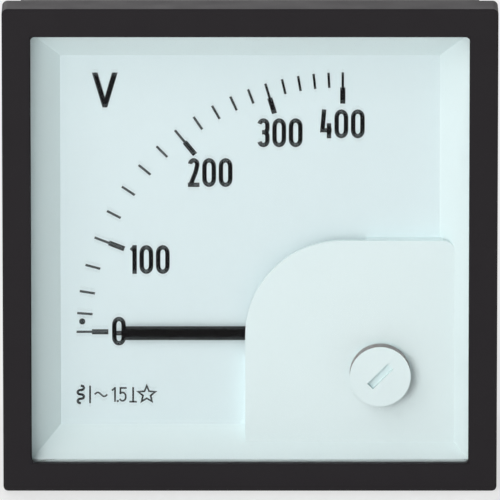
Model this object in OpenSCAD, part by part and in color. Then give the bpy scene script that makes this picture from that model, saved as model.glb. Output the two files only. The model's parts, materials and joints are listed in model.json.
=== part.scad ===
// Panel voltmeter, 72 mm square, with a 90 degree moving-iron movement.
// Millimetres. The origin is the centre of the bezel's seat on the panel.
// X runs to the right as seen from the front, Y into the panel and Z up.

/* [Bezel] */
// Outer side of the square bezel
bezel_w = 72; // [71:0.5:80]
// How far the bezel stands in front of the panel
bezel_depth = 6; // [5.8:0.1:8]
// Width of the bezel's strip as seen from the front
rim_w = 4.15; // [4:0.05:4.6]
// Thickness of the lip in front of the pane
lip_t = 1.2; // [0.8:0.1:1.4]
// Width of the ring that seats on the panel
seat_w = 2.3; // [2:0.1:2.5]
// Radius of the bezel's outer corners
bezel_corner_r = 0.8; // [0.5:0.1:2]
// Radius of the window's corners
window_corner_r = 0.6; // [0.3:0.1:1]
// Chamfer along the bezel's front edges
bezel_chamfer = 0.3; // [0.1:0.05:0.5]

/* [Pane and surround] */
// Thickness of the clear pane
pane_t = 1.5; // [1.2:0.1:1.8]
// How far the pane reaches behind the lip
pane_lap = 0.9; // [0.6:0.05:1]
// Thickness of the surround's flange behind the pane
flange_t = 1; // [0.8:0.1:1.2]
// Distance from the pane's back to the dial
surround_depth = 4.5; // [4.3:0.1:6]
// How far the sloped walls run inwards
surround_run = 4.2; // [4:0.1:5]
// Wall of the surround where it meets the dial
surround_wall = 1; // [0.8:0.1:1.4]

/* [Movement cover] */
// Height of the cover's front over the dial
cover_rise = 2.3; // [2.2:0.1:2.8]
// Thickness of the cover
cover_t = 0.8; // [0.7:0.05:0.9]
// Radius of the cover's edge around the pivot
cover_r = 14.2; // [14:0.1:15]
// Radius of the cover's other free corner
cover_corner_r = 1.75; // [1:0.05:3]
// Thickness of the cover's skirt
skirt_t = 1; // [0.8:0.1:1.4]
// Radius of the two pegs that stop the pointer
peg_r = 0.6; // [0.5:0.05:0.8]
// Distance of the pegs from the pivot
peg_at = 12; // [11.6:0.1:12.6]

/* [Dial] */
// Thickness of the dial plate
dial_t = 0.6; // [0.4:0.1:0.8]
// How far the dial plate reaches behind the surround
dial_lap = 2.5; // [2:0.1:3]
// Rim of the dial plate that stays under the cover's edge
dial_ledge = 1.7; // [1.4:0.1:2]
// Distance of the pivot from the dial's right edge
pivot_in = 14.15; // [13.8:0.05:14.5]
// Distance of the pivot from the dial's lower edge
pivot_up = 13.85; // [13.5:0.05:14.2]
// Gap between the scale marks and the dial's upper edge
scale_gap = 2.6; // [1.5:0.1:3.5]
// Length of a minor mark
minor_len = 2.25; // [1.8:0.05:3]
// Width of a minor mark
minor_w = 0.35; // [0.2:0.05:0.5]
// Length of a major mark
major_len = 4.65; // [4:0.05:5.5]
// Width of the inner, heavy stretch of a major mark
major_w = 0.75; // [0.5:0.05:1]
// Radius of the dot where the effective range starts
dot_r = 0.45; // [0.3:0.05:0.6]
// Distance of the dot inside the marks' outer ends
dot_in = 0.8; // [0.6:0.1:1.8]
// Degrees from zero to the dot
dot_deg = 2.35; // [2:0.05:3]
// Volts at the end of the scale
full_scale = 400; // [200:200:600]
// Volts from one minor mark to the next
minor_step = 20; // [10:10:20]
// Volts from one major mark to the next
major_step = 100; // [50:50:100]
// Volts of the first mark after zero
first_mark = 40; // [20:20:60]
// Thickness of the printed ink
ink_t = 0.04; // [0.02:0.01:0.08]

/* [Pointer] */
// Width of the pointer's bar
pointer_w = 2; // [1.6:0.1:2.2]
// Thickness of the pointer's sheet
pointer_t = 0.3; // [0.2:0.05:0.4]
// Gap between the pointer's end and the major marks
pointer_short = 0.7; // [0.4:0.1:2]
// Length of the thin blade past the bar
tip_len = 1.8; // [1.2:0.1:2.2]
// Width of the thin blade
tip_w = 0.6; // [0.4:0.1:0.8]
// Gap between the cover and the pointer
pointer_gap = 0.5; // [0.4:0.05:0.55]
// Radius where the pointer starts to crank forwards
crank_in_r = 6.9; // [6.8:0.1:7.2]
// Radius where the crank ends
crank_out_r = 10.5; // [10:0.1:10.8]
// Travel below zero, in degrees
travel_below = 3; // [2:0.5:4]
// Travel above zero, in degrees
travel_above = 94; // [92:0.5:95]
// Width of the balance arms
arm_w = 1; // [0.8:0.1:1.2]
// Reach of the balance arms from the pivot
arm_r = 9; // [8.8:0.1:9.4]
// Radius of the weight on the tail
tail_weight_r = 0.95; // [0.8:0.05:1.1]
// Length of the weight on the tail
tail_weight_len = 1.5; // [1.2:0.1:2]
// Radius of the weights on the cross arms
cross_weight_r = 0.8; // [0.7:0.05:1]
// Length of the weights on the cross arms
cross_weight_len = 1.2; // [1:0.1:1.6]
// Distance of the weights from the arms' ends
weight_in = 1.4; // [1.3:0.1:1.6]

/* [Spindle and bearings] */
// Radius of the spindle
spindle_r = 0.6; // [0.5:0.05:0.7]
// Radius of the jewel screws
jewel_screw_r = 1.5; // [1.4:0.1:1.6]
// Length of the front jewel screw
front_screw_len = 2.7; // [2.4:0.1:2.8]
// How far the front jewel screw stands in front of the bridge
front_screw_proud = 0.6; // [0.4:0.1:0.7]
// Length of the rear jewel screw
rear_screw_len = 4.2; // [3.8:0.1:5]
// How far the rear jewel screw reaches into the bobbin
rear_screw_in = 0.5; // [0.3:0.1:1]
// Radius of the hub's flange
hub_r = 2.6; // [2.4:0.1:2.8]
// Thickness of the hub's flange
hub_flange_t = 0.4; // [0.3:0.05:0.5]
// Radius of the hub's seat for the pointer
hub_seat_r = 1.5; // [1.3:0.1:1.7]
// Radius of a jewel
jewel_r = 0.9; // [0.8:0.05:1]
// Thickness of a jewel
jewel_t = 0.9; // [0.8:0.05:1]
// Depth of the cup in a jewel
cup_depth = 0.5; // [0.4:0.05:0.6]
// Radius of the cup's mouth
cup_r = 0.6; // [0.5:0.05:0.7]
// Length of the spindle's pointed ends
point_len = 0.95; // [0.8:0.05:1.1]
// Radius of the spindle's tips
tip_r = 0.1; // [0.06:0.02:0.12]
// End play of the spindle at each tip
end_play = 0.05; // [0.03:0.01:0.08]
// Thickness of the lock nut on the rear jewel screw
lock_nut_t = 1.5; // [1.2:0.1:1.8]
// Width across flats of the lock nut
lock_nut_af = 5.5; // [5:0.1:6]

/* [Front bridge] */
// Thickness of the bridge
bridge_t = 1.2; // [1:0.1:1.3]
// Gap between the cover and the bridge
bridge_gap = 1; // [0.9:0.1:1.1]
// Radius of the bridge's middle
bridge_r = 4; // [3.8:0.1:4.4]
// Width of the bridge's arms
bridge_w = 4; // [3.6:0.1:4.4]
// Distance of the bridge's legs from the pivot
leg_at = 11.5; // [11.3:0.1:11.6]
// Direction of one arm, in degrees from +X towards +Z
bridge_deg = 45; // [43:1:47]
// Width of the tabs that pass into the bobbin
tab_w = 2.4; // [2:0.1:2.8]
// Radius of the boss that carries the zero lever
boss_r = 2.6; // [2.4:0.1:2.7]
// Overhang of the boss's lip behind the zero lever
boss_lip = 0.3; // [0.2:0.05:0.4]
// Thickness of the boss's lip
boss_lip_t = 0.2; // [0.15:0.05:0.3]

/* [Zero adjuster] */
// Distance of the zero screw to the right of the pivot
zero_x = 5.5; // [5.4:0.1:5.8]
// Distance of the zero screw below the pivot
zero_drop = 5.5; // [5.1:0.1:5.6]
// Radius of the zero screw's head
zero_head_r = 4.45; // [4.2:0.05:4.6]
// How far the head lies behind the pane's front
zero_sunk = 0.9; // [0.4:0.1:1.1]
// Gap between the head and the cover
zero_lift = 0.6; // [0.4:0.1:0.8]
// Radius of the zero screw's stem
zero_stem_r = 2; // [1.8:0.1:2.1]
// Overhang of the collar that keeps the stem in the cover
zero_collar = 0.4; // [0.3:0.1:0.6]
// Thickness of the collar
zero_collar_t = 0.5; // [0.4:0.1:0.6]
// Length of the screwdriver slot
zero_slot_len = 4.2; // [3.5:0.1:5]
// Width of the screwdriver slot
zero_slot_w = 1.2; // [0.8:0.1:1.4]
// Depth of the screwdriver slot
zero_slot_depth = 1; // [0.6:0.1:1.4]
// Turn of the screwdriver slot, in degrees
zero_slot_deg = 45; // [0:15:90]
// Offset of the eccentric pin
zero_throw = 1.2; // [1:0.1:1.3]
// Radius of the eccentric pin
zero_pin_r = 0.5; // [0.4:0.05:0.6]
// Thickness of the zero lever
lever_t = 0.5; // [0.4:0.05:0.55]
// Width of the lever's arms
lever_w = 2.4; // [2.2:0.1:2.8]
// Reach of the lever's fork past the pin
fork_past_pin = 1.6; // [1.2:0.1:1.8]
// Radius of the post that holds the hairspring
post_r = 0.35; // [0.3:0.05:0.4]
// Distance of the post from the pivot
post_at = 6.2; // [6.1:0.05:6.3]
// Direction of the post, in degrees from +X towards +Z
post_deg = 135; // [133:1:137]

/* [Hairspring] */
// Width of the spring's strip
spring_h = 0.4; // [0.3:0.05:0.5]
// Thickness of the spring's strip
spring_t = 0.12; // [0.08:0.02:0.16]
// Gap between the bridge's boss and the spring
spring_gap = 0.4; // [0.3:0.05:0.5]
// Number of turns
spring_turns = 4; // [3:1:5]
// Radius of the hub's collet inside the spring
collet_r = 1.6; // [1.4:0.1:1.7]

/* [Coil and irons] */
// Radius of the bobbin's bore
bobbin_bore_r = 7.5; // [7.3:0.1:7.7]
// Wall of the bobbin's core
bobbin_wall = 1; // [0.8:0.1:1.2]
// Radius of the bobbin's flanges
bobbin_flange_r = 13; // [12.9:0.1:13.3]
// Thickness of the bobbin's flanges
bobbin_flange_t = 1.5; // [1.2:0.1:1.8]
// Length of the bobbin
bobbin_len = 19; // [17:0.5:20]
// Distance from the dial's back to the bobbin
bobbin_set_back = 4.2; // [4:0.1:5]
// Radius of the winding
winding_r = 12.3; // [11.5:0.1:12.6]
// Thickness of the fixed iron
fixed_iron_t = 0.8; // [0.6:0.1:1]
// Arc of the fixed iron, in degrees
fixed_iron_deg = 125; // [115:5:140]
// Taper of each edge of the fixed iron, in degrees
fixed_iron_taper = 14; // [10:1:16]
// Radius of the moving iron's outside
moving_iron_r = 5.4; // [5:0.1:5.8]
// Thickness of the moving iron
moving_iron_t = 0.3; // [0.25:0.05:0.4]
// Arc of the moving iron, in degrees
moving_iron_deg = 45; // [40:5:50]
// Length of the moving iron along the spindle
moving_iron_len = 9; // [8:0.5:10]

/* [Movement frame] */
// Thickness of the movement frame
frame_t = 1.5; // [1.2:0.1:2]
// Radius of the frame's disc
frame_r = 12.5; // [12:0.1:13]
// Distance of the movement screws from the pivot
screw_at = 16.5; // [16.4:0.1:16.8]
// Radius of the movement screws
screw_r = 1.5; // [1.25:0.05:1.6]
// Length of the movement screws under the head
screw_len = 8; // [6:0.5:10]
// Radius of the movement screws' heads
screw_head_r = 2.7; // [2.4:0.1:2.8]
// Height of the movement screws' heads
screw_head_t = 1.7; // [1.4:0.1:2]
// Radius of the case's bosses for the movement screws
screw_boss_r = 3.2; // [3:0.1:3.6]
// Radius of the coil's two lugs
lug_r = 0.6; // [0.5:0.05:0.7]
// Distance of the lugs from the pivot
lug_at = 11.3; // [11:0.1:11.5]
// Length of the lugs behind the bobbin
lug_len = 4; // [3:0.5:5]
// Angle of each lug above or below the pivot, in degrees
lug_deg = 20; // [18:1:24]

/* [Case] */
// Depth of the case behind the panel
case_depth = 46; // [45:0.5:60]
// Wall of the case
case_wall = 1.8; // [1.7:0.05:2]
// Thickness of the case's back
back_t = 2.2; // [1.8:0.1:3]
// Radius of the case's long edges
case_corner_r = 1.5; // [1:0.1:2.5]
// Chamfer around the case's back
case_chamfer = 1; // [0.5:0.1:1.5]
// Side of the corner posts that carry the dial plate
dial_post_w = 3.8; // [3.4:0.1:4]
// Width of a clamp pocket
pocket_w = 10; // [8:0.5:14]
// Length of a clamp pocket
pocket_len = 5; // [4:0.5:7]
// Depth of a clamp pocket
pocket_depth = 0.9; // [0.6:0.1:1.1]
// Rib between two clamp pockets
pocket_rib = 2; // [1.5:0.1:3]
// Distance from the panel to the first clamp pocket
pocket_at = 20; // [16:0.5:26]
// Length of a snap ridge that holds the bezel
snap_len = 12; // [8:0.5:16]
// Height of a snap ridge
snap_h = 0.3; // [0.2:0.05:0.4]

/* [Terminals] */
// Radius of the terminal studs
stud_r = 2; // [1.5:0.1:2.2]
// Distance of each stud from the middle
stud_x = 16; // [14:0.5:18]
// Height of the studs above the middle
stud_z = 8; // [6:0.5:12]
// Length of stud past the clamp nut
stud_end = 3; // [2:0.5:6]
// Width across flats of the nuts and of the studs' heads
nut_af = 7; // [6.6:0.1:8]
// Thickness of a nut
nut_t = 3.2; // [2.4:0.1:4]
// How far a nut's round face lies inside its flats
nut_face_in = 0.15; // [0.1:0.05:0.3]
// Slope of the chamfer on a nut's corners, in degrees
nut_chamfer_deg = 30; // [20:5:35]
// Thickness of a stud's head
stud_head_t = 2.8; // [2:0.1:3.5]
// Radius of a plain washer
washer_r = 4.5; // [4.2:0.1:5]
// Thickness of a plain washer
washer_t = 0.8; // [0.6:0.1:1.2]
// Radius of a spring washer
spring_washer_r = 3.6; // [3.4:0.1:4]
// Thickness of a spring washer
spring_washer_t = 1; // [0.8:0.1:1.2]
// Gap in a spring washer
spring_washer_gap = 0.8; // [0.5:0.1:1.2]
// Slant of the gap, in degrees
spring_washer_slant = 20; // [10:5:30]
// Radius of the round pad under each terminal
pad_r = 6; // [5.5:0.1:7]
// Height of the round pad
pad_t = 1.5; // [1:0.1:2.5]
// Thickness of the barrier between the terminals
barrier_t = 1.8; // [1.4:0.1:2.4]
// Length of the barrier
barrier_len = 20; // [16:1:24]
// Height of the barrier behind the case
barrier_h = 8; // [6:0.5:10]
// Thickness of a solder tag
tag_t = 0.6; // [0.4:0.1:0.8]
// Width of a solder tag's ear
tag_w = 4; // [3.5:0.1:5]
// Distance from the stud to the tag's upright ear
tag_reach = 7; // [6.5:0.1:8]
// Height of the tag's upright ear
tag_rise = 7; // [6:0.5:9]
// Distance of the hole from the ear's end
tag_hole_in = 2; // [1.5:0.1:2.5]

/* [Resistor and leads] */
// Radius of the series resistor's body
resistor_r = 2.5; // [2:0.1:3]
// Length of the series resistor's body
resistor_len = 16; // [12:0.5:18]
// Radius of the resistor's wires
resistor_wire_r = 0.4; // [0.3:0.05:0.5]
// Length of the resistor's wires
resistor_wire_len = 6; // [5:0.5:7]
// How far the resistor's upper wire passes through the tag
resistor_wire_past = 1; // [0.5:0.1:1.5]
// Radius of the insulated leads
lead_r = 0.6; // [0.5:0.05:0.8]
// Slack of the leads at the coil's lugs
lug_slack = 7.5; // [6:0.5:8]
// Slack of the lead at the right tag
tag_slack = 7; // [6:0.5:8]
// Slack of the lead at the resistor's wire
resistor_slack = 5; // [4:0.5:6]

/* [Clearances] */
// Gap around pieces that are set in place by hand
fit_clear = 0.1; // [0.05:0.01:0.15]
// Gap around pieces that turn
run_clear = 0.05; // [0.03:0.01:0.08]
// Gap between pieces that are pressed or screwed together
press_clear = 0.02; // [0.01:0.01:0.03]

/* [Hidden] */
$fn = 64;
cut = 1;
lead_step = 1 / 16;

// Depths along Y, from the front of the bezel to the back of the case
front_y = -bezel_depth;
pane_y = front_y + lip_t;
flange_y = pane_y + pane_t;
case_front_y = flange_y + flange_t;
dial_y = flange_y + surround_depth;
dial_back_y = dial_y + dial_t;
cover_y = dial_y - cover_rise;
cover_back_y = cover_y + cover_t;
pointer_y = cover_back_y + pointer_gap;
bridge_y = cover_back_y + bridge_gap;
bridge_back_y = bridge_y + bridge_t;
lever_y = bridge_back_y + fit_clear;
boss_lip_y = lever_y + lever_t + fit_clear;
boss_back_y = boss_lip_y + boss_lip_t;
spring_y = boss_back_y + spring_gap;
hub_y = spring_y - fit_clear;
hub_flange_y = spring_y + spring_h + fit_clear;
plate_y = hub_flange_y + hub_flange_t;
hub_back_y = plate_y + 2 * pointer_t;
bobbin_y = dial_back_y + bobbin_set_back;
bobbin_back_y = bobbin_y + bobbin_len;
frame_back_y = bobbin_back_y + frame_t;
back_y = case_depth - back_t;
pad_y = case_depth + pad_t;

// Half-widths from the meter's centre
bezel_half = bezel_w / 2;
window_half = bezel_half - rim_w;
pane_half = window_half + pane_lap;
case_half = bezel_half - seat_w - fit_clear;
case_inner_half = case_half - case_wall;
dial_half = window_half - surround_run;
plate_half = dial_half + dial_lap;

// Places seen from the front
pivot = [dial_half - pivot_in, pivot_up - dial_half];
zero = pivot + [zero_x, -zero_drop];
zero_reach = norm(zero - pivot);
zero_deg = -atan2(zero_drop, zero_x);
studs = [[-stud_x, stud_z], [stud_x, stud_z]];
screw_dirs = [bridge_deg + 90, bridge_deg - 90];
bridge_dirs = [bridge_deg, bridge_deg + 180];
lug_dirs = [180 - lug_deg, 180 + lug_deg];

// Sizes that follow from the ones above
scale_r = dial_half - scale_gap - pivot[1];
pointer_end = scale_r - major_len - pointer_short;
core_r = bobbin_bore_r + bobbin_wall;
pin_at = zero_reach + zero_throw;
weight_at = arm_r - weight_in;
peg_margin = 1;
peg_off_deg = asin((pointer_w / 2 + peg_r) / peg_at) + peg_margin;
front_jewel_y = bridge_y - front_screw_proud + front_screw_len;
rear_jewel_y = bobbin_back_y - rear_screw_in;
spindle_front_y = front_jewel_y - cup_depth + end_play;
spindle_back_y = rear_jewel_y + cup_depth - end_play;
leg_t = bridge_t;
tag_hole_y = back_y - tag_rise + tag_hole_in;
resistor_top = stud_z - tag_reach + tag_t / 2 + resistor_wire_past - resistor_wire_len;
resistor_bottom = resistor_top - resistor_len;
clamp_y = pad_y + nut_t;
spring_washer_y = clamp_y + 2 * washer_t + fit_clear;
clamp_nut_y = spring_washer_y + spring_washer_t;
stud_end_y = clamp_nut_y + nut_t + stud_end;

// Law of the scale: degrees from zero for a share of full scale, as a moving iron gives it
law_gain = 7.3;
law_rise = 2.2;
law_fall = 1.74;
full_deg = 90;
function scale_deg(share) =
    full_deg * (1 + law_gain) * pow(share, law_rise) / (1 + law_gain * pow(share, law_fall));

// Half-width of the surround's sloped face at a depth
function slope_half(y) = window_half - surround_run * (y - flange_y) / surround_depth;

// A point at a distance and direction from the pivot, seen from the front
function from_pivot(r, deg) = pivot + r * [cos(deg), sin(deg)];

// A point at depth y over a place seen from the front
function over(place, y) = [place[0], y, place[1]];

// A flat outline seen from the front, made solid from depth y0 to y1
module slab(y0, y1) {
    translate([0, y1, 0])
        rotate([90, 0, 0])
            linear_extrude(y1 - y0)
                children();
}

// A round bar along Y over a place seen from the front
module rod(place, y0, y1, r0, r1 = undef) {
    translate(over(place, y0))
        rotate([-90, 0, 0])
            cylinder(h = y1 - y0, r1 = r0, r2 = is_undef(r1) ? r0 : r1);
}

// A turned shape: the outline's X is the radius and its Y the depth
module turned(place, angle = 360, from = 0) {
    translate(over(place, 0))
        rotate([-90, 0, 0])
            rotate([0, 0, from])
                rotate_extrude(angle = angle)
                    children();
}

// Turns a shape drawn along +X about the pivot to a direction
module at_pivot(deg) {
    translate(over(pivot, 0))
        rotate([0, -deg, 0])
            children();
}

// A square frame with mitred corners: the outline's X is the half-width and its Y the depth
module square_frame(reach, y0, y1) {
    for (turn = [0:90:270])
        rotate([0, turn, 0])
            intersection() {
                linear_extrude(2 * reach, center = true)
                    children();
                slab(y0, y1)
                    polygon([[0, 0], [reach, -reach], [reach, reach]]);
            }
}

// An outline of a width and height with round corners
module round_rect(w, h, r) {
    square([w, h - 2 * r], center = true);
    square([w - 2 * r, h], center = true);
    for (x = [-1, 1], z = [-1, 1])
        translate([x * (w / 2 - r), z * (h / 2 - r)])
            circle(r);
}

// A hexagon by its width across flats
module hexagon(af) {
    circle(r = af / 2 / cos(30), $fn = 6);
}

// A hex nut or a stud's head over a place, with chamfered corners
module hex_bar(place, y0, y1, af) {
    face_r = af / 2 - nut_face_in;
    corner_r = af / 2 / cos(30) + press_clear;
    rise = (corner_r - face_r) * tan(nut_chamfer_deg);
    intersection() {
        slab(y0, y1)
            translate(place)
                hexagon(af);
        turned(place)
            polygon([
                [0, y0], [face_r, y0], [corner_r, y0 + rise],
                [corner_r, y1 - rise], [face_r, y1], [0, y1]
            ]);
    }
}

// Outline of the movement cover, or of a copy of it drawn in from its free edges
module cover_outline(inset, right, bottom) {
    r = cover_r - inset;
    corner = cover_corner_r;
    top = pivot[1] + r;
    translate(pivot)
        circle(r);
    translate([pivot[0] - r, -bottom])
        square([right - pivot[0] + r, pivot[1] + bottom]);
    translate([pivot[0], -bottom])
        square([right - pivot[0], top - corner + bottom]);
    translate([pivot[0], -bottom])
        square([right - pivot[0] - corner, top + bottom]);
    translate([right - corner, top - corner])
        circle(corner);
}

// Square ring that holds the pane, rests on the panel and clips over the case
module bezel() {
    pane_pocket = pane_half + fit_clear;
    case_pocket = case_half + fit_clear;
    edge = bezel_chamfer;
    color("#2e2b2e")
        difference() {
            union() {
                intersection() {
                    square_frame(bezel_half + cut, front_y - cut, cut)
                        polygon([
                            [window_half, front_y + edge / 2], [window_half + edge / 2, front_y],
                            [bezel_half - edge, front_y], [bezel_half, front_y + edge],
                            [bezel_half, 0], [case_pocket, 0],
                            [case_pocket, case_front_y], [pane_pocket, case_front_y],
                            [pane_pocket, pane_y], [window_half, pane_y]
                        ]);
                    slab(front_y - cut, cut)
                        round_rect(bezel_w, bezel_w, bezel_corner_r);
                }
                window_corners(edge / 2);
            }
            snap_ridges(fit_clear);
        }
}

// Fillets in the four corners of the window, set back from the front
module window_corners(set_back) {
    at = window_half - window_corner_r;
    for (turn = [0:90:270])
        rotate([0, turn, 0])
            slab(front_y + set_back, pane_y)
                translate([at, at])
                    difference() {
                        square(window_corner_r + pane_lap / 2);
                        circle(window_corner_r);
                    }
}

// Four ridges on the case that snap into grooves in the bezel
module snap_ridges(gap) {
    middle = case_front_y / 2;
    rise = snap_h + gap;
    for (turn = [0:90:270])
        rotate([0, turn, 0])
            translate([case_half - cut / 2, middle, 0])
                linear_extrude(snap_len + 2 * gap, center = true)
                    polygon([
                        [0, -rise - cut / 2], [cut / 2, -rise],
                        [cut / 2 + rise, 0], [cut / 2, rise], [0, rise + cut / 2]
                    ]);
}

// Clear pane with the hole for the zero screw
module window_pane() {
    color("#e8f2f2", 0.3)
        slab(pane_y, flange_y)
            difference() {
                square(2 * pane_half, center = true);
                translate(zero)
                    circle(zero_head_r + 2 * fit_clear);
            }
}

// White moulding: sloped walls around the dial and the cover over the movement
module dial_surround() {
    back_half = case_inner_half - fit_clear;
    corner = slope_half(cover_y) + fit_clear;
    color("#e0eeee")
        difference() {
            union() {
                square_frame(pane_half + cut, flange_y - cut, dial_y + cut)
                    polygon([
                        [window_half, flange_y], [pane_half, flange_y],
                        [pane_half, case_front_y], [back_half, case_front_y],
                        [dial_half + surround_wall, dial_y], [dial_half, dial_y]
                    ]);
                slab(cover_y, cover_back_y)
                    cover_outline(0, corner, corner);
                cover_skirt();
                pointer_pegs();
            }
            rod(zero, cover_y - cut, cover_back_y + cut, zero_stem_r + run_clear);
        }
}

// Skirt of the cover, open where the pointer sweeps
module cover_skirt() {
    reach = dial_half + surround_wall / 2;
    opening = pointer_w + 2 * travel_below * PI / 180 * cover_r;
    slab(cover_y, dial_y) {
        translate([pivot[0] - cover_r, -reach])
            square([skirt_t, reach + pivot[1] - opening]);
        translate([pivot[0] + opening, pivot[1] + cover_r - skirt_t])
            square([reach - pivot[0] - opening, skirt_t]);
    }
}

// Pegs on the back of the cover that end the pointer's travel
module pointer_pegs() {
    for (deg = [180 + travel_below + peg_off_deg, 180 - travel_above - peg_off_deg])
        rod(from_pivot(peg_at, deg), cover_y, pointer_y + 3 * pointer_t, peg_r);
}

// Dial plate, cut away under the movement cover
module dial_plate() {
    past = plate_half + cover_corner_r + cut;
    color("#dbebee")
        slab(dial_y, dial_back_y)
            difference() {
                square(2 * plate_half, center = true);
                cover_outline(dial_ledge, past, past);
            }
}

// Printed marks of the scale: a thin stretch on each, and a heavy one on the major marks
module scale_marks() {
    volts = [0, for (v = [first_mark:minor_step:full_scale]) v];
    color("#1c1c1e")
        slab(dial_y - ink_t, dial_y) {
            for (v = volts)
                translate(pivot)
                    rotate(180 - scale_deg(v / full_scale))
                        scale_mark(v % major_step == 0);
            translate(from_pivot(scale_r - dot_in, 180 - dot_deg))
                circle(dot_r);
        }
}

// One mark along +X
module scale_mark(major) {
    translate([scale_r - minor_len, -minor_w / 2])
        square([minor_len, minor_w]);
    if (major)
        translate([scale_r - major_len, -major_w / 2])
            square([major_len - minor_len, major_w]);
}

// Pointer: one cranked sheet with a bar, a thin blade and three balance arms
module pointer() {
    t = pointer_t;
    color("#161617")
        at_pivot(180)
            difference() {
                intersection() {
                    linear_extrude(2 * arm_r, center = true)
                        polygon([
                            [-arm_r, plate_y], [crank_in_r, plate_y], [crank_out_r, pointer_y],
                            [pointer_end, pointer_y], [pointer_end, pointer_y + t],
                            [crank_out_r, pointer_y + t],
                            [crank_in_r, plate_y + t], [-arm_r, plate_y + t]
                        ]);
                    slab(pointer_y - cut, plate_y + t + cut)
                        pointer_outline();
                }
                rod([0, 0], plate_y - cut, plate_y + t + cut, hub_seat_r + press_clear);
            }
}

// The pointer seen from the front, along +X
module pointer_outline() {
    circle(hub_r);
    translate([0, -pointer_w / 2])
        square([pointer_end - tip_len, pointer_w]);
    translate([0, -tip_w / 2])
        square([pointer_end, tip_w]);
    translate([-arm_r, -arm_w / 2])
        square([arm_r, arm_w]);
    square([arm_w, 2 * arm_r], center = true);
}

// Turned hub: collet for the hairspring, flange and seat for the pointer
module pointer_hub() {
    bore = spindle_r + press_clear;
    color("#c9a64c")
        turned(pivot)
            polygon([
                [bore, hub_y], [collet_r, hub_y], [collet_r, hub_flange_y],
                [hub_r, hub_flange_y], [hub_r, plate_y], [hub_seat_r, plate_y],
                [hub_seat_r, hub_back_y], [bore, hub_back_y]
            ]);
}

// Three slotted weights on the pointer's balance arms
module balance_weights() {
    color("#c9a64c") {
        balance_weight(0, tail_weight_r, tail_weight_len);
        for (deg = [-90, 90])
            balance_weight(deg, cross_weight_r, cross_weight_len);
    }
}

// A weight with a slot for its arm
module balance_weight(deg, r, len) {
    middle = plate_y + pointer_t / 2;
    slot = [4 * r, pointer_t + 2 * press_clear, arm_w + 2 * press_clear];
    at_pivot(deg)
        difference() {
            rod([weight_at, 0], middle - len / 2, middle + len / 2, r);
            translate([weight_at, middle, 0])
                cube(slot, center = true);
        }
}

// Spindle with two points that run in the jewels
module spindle() {
    color("#c4c6c8") {
        rod(pivot, spindle_front_y, spindle_front_y + point_len, tip_r, spindle_r);
        rod(pivot, spindle_front_y + point_len, spindle_back_y - point_len, spindle_r);
        rod(pivot, spindle_back_y - point_len, spindle_back_y, spindle_r, tip_r);
    }
}

// Moving iron: a curved vane on a web and a sleeve that grips the spindle
module moving_iron() {
    middle = (bobbin_y + bobbin_back_y) / 2;
    half = moving_iron_len / 2;
    inner = moving_iron_r - moving_iron_t;
    sleeve_r = spindle_r + 2 * moving_iron_t;
    color("#8d8f92")
        difference() {
            union() {
                turned(pivot, moving_iron_deg, -moving_iron_deg / 2)
                    translate([inner, middle - half])
                        square([moving_iron_t, moving_iron_len]);
                at_pivot(0)
                    translate([0, middle - half / 2, -moving_iron_t / 2])
                        cube([inner + moving_iron_t / 2, half, moving_iron_t]);
                rod(pivot, middle - half / 2, middle + half / 2, sleeve_r);
            }
            rod(pivot, middle - half, middle + half, spindle_r + press_clear);
        }
}

// Flat spiral spring from the hub's collet to the zero lever's post
module hairspring() {
    step = 15;
    turn = 360 * spring_turns;
    inner = collet_r + press_clear + spring_t / 2;
    outer = post_at - post_r - press_clear - spring_t / 2;
    angles = [for (a = [0:step:turn]) a];
    color("#b98a3c")
        slab(spring_y, spring_y + spring_h)
            translate(pivot)
                rotate(post_deg)
                    polygon(concat(
                        [for (a = angles) spiral(inner, outer, a, turn, spring_t / 2)],
                        [for (a = angles) spiral(inner, outer, turn - a, turn, -spring_t / 2)]
                    ));
}

// A point of the spiral at an angle, to one side of its middle line
function spiral(inner, outer, a, turn, side) =
    (inner + (outer - inner) * a / turn + side) * [cos(a), sin(a)];

// Zero screw: slotted head, stem through the cover, collar behind it and eccentric pin
module zero_screw() {
    head_y = pane_y + zero_sunk;
    head_back_y = cover_y - zero_lift;
    collar_y = cover_back_y + fit_clear;
    collar_back_y = collar_y + zero_collar_t;
    color("#e4eef0")
        difference() {
            union() {
                rod(zero, head_y, head_back_y, zero_head_r);
                rod(zero, head_back_y, collar_back_y, zero_stem_r);
                rod(zero, collar_y, collar_back_y, zero_stem_r + zero_collar);
                rod(from_pivot(pin_at, zero_deg), collar_back_y,
                    lever_y + lever_t + 2 * fit_clear, zero_pin_r);
            }
            translate(over(zero, head_y))
                rotate([0, -zero_slot_deg, 0])
                    cube([zero_slot_len, 2 * zero_slot_depth, zero_slot_w], center = true);
        }
}

// Zero lever: a ring on the bridge's boss, a fork for the pin and a post for the spring
module zero_lever() {
    ring_r = boss_r + lever_w / 2;
    fork_r = zero_pin_r + run_clear;
    reach = pin_at + fork_past_pin;
    color("#c9a64c") {
        slab(lever_y, lever_y + lever_t)
            translate(pivot)
                difference() {
                    union() {
                        circle(ring_r);
                        rotate(zero_deg)
                            translate([0, -lever_w / 2])
                                square([reach, lever_w]);
                        rotate(post_deg)
                            translate([0, -lever_w / 4])
                                square([post_at + 2 * post_r, lever_w / 2]);
                    }
                    circle(boss_r + run_clear);
                    rotate(zero_deg)
                        translate([pin_at - 3 * fork_r, -fork_r])
                            square([reach, 2 * fork_r]);
                }
        rod(from_pivot(post_at, post_deg), lever_y, spring_y + spring_h, post_r);
    }
}

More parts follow.
